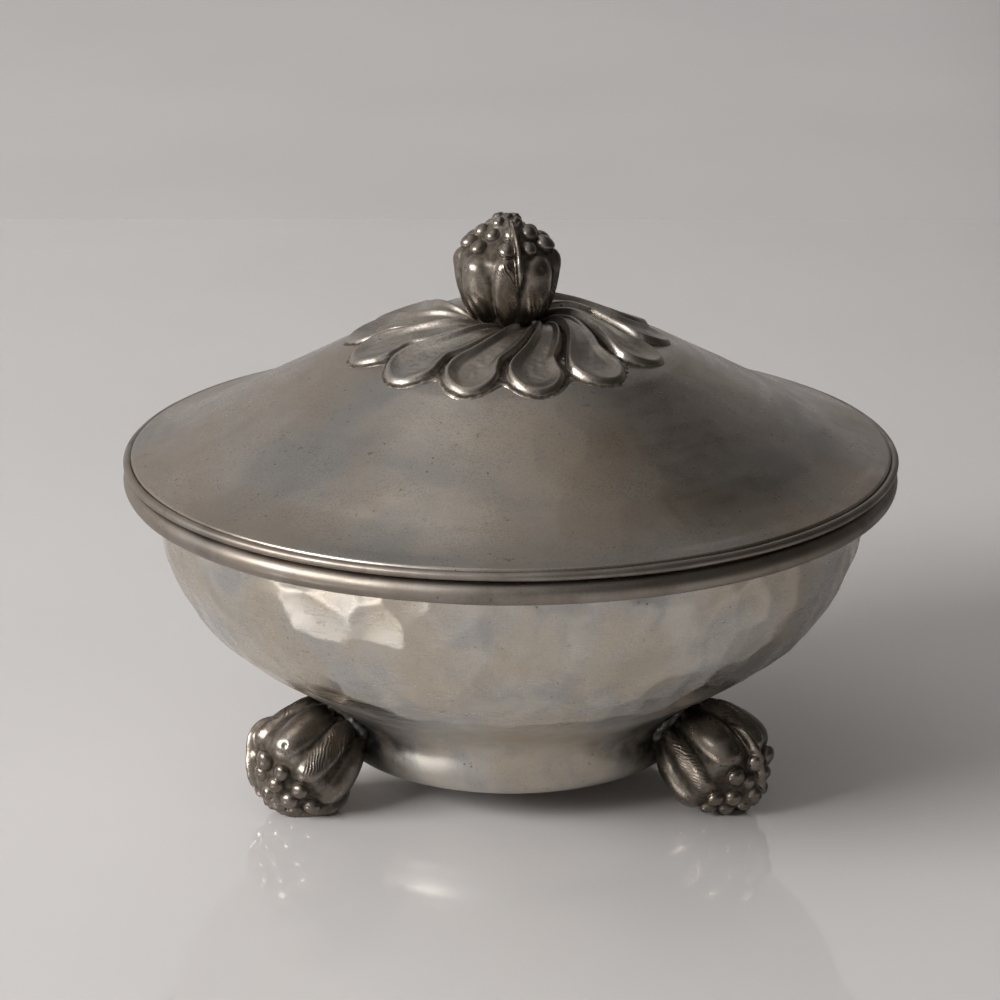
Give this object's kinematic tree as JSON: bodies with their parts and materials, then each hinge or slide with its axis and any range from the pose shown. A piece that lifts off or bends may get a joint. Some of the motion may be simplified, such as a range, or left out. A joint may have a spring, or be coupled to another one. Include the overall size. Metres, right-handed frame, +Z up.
{
  "type": "covered sugar bowl",
  "caption": "Round hammered pewter sugar bowl on bud-shaped feet, with a domed lid, a swirled leaf collar and a bud finial; the lid lifts off.",
  "frame": {"origin": "on the table, under the middle of the bowl", "axes": "+Z up along the bowl's axis; -Y is the front, between the two front feet; +X is to the right"},
  "size_m": [0.14, 0.14, 0.1052],
  "materials": {
    "hammered_pewter": "hammered, soft satin, lightly tarnished",
    "satin_pewter": "smooth satin with fine pits, scratches and a grey-brown patina",
    "wire_pewter": "smooth, worn bright on the outside",
    "cast_pewter": "cast and chased, polished on the high spots, dark in the hollows",
    "solder": "soft grey, uneven",
    "brass": "dull, lightly tarnished"
  },
  "bodies": {
    "bowl": {"bowl_body": "hammered_pewter", "bowl_rim_wire": "wire_pewter", "foot_front_left": "cast_pewter", "foot_front_right": "cast_pewter", "foot_rear": "cast_pewter", "foot_solder": "solder"},
    "lid": {"lid_dome": "satin_pewter", "lid_edge_wire": "wire_pewter", "lid_bezel": "satin_pewter", "leaf_collar": "cast_pewter", "bud_finial": "cast_pewter", "finial_stud": "brass", "finial_washer": "brass", "finial_nut": "brass"}
  },
  "joints": [
    {"name": "lid_lift", "type": "slide", "parent": "bowl", "child": "lid", "axis": [0, 0, 1], "range_m": [0, 0.1]}
  ]
}
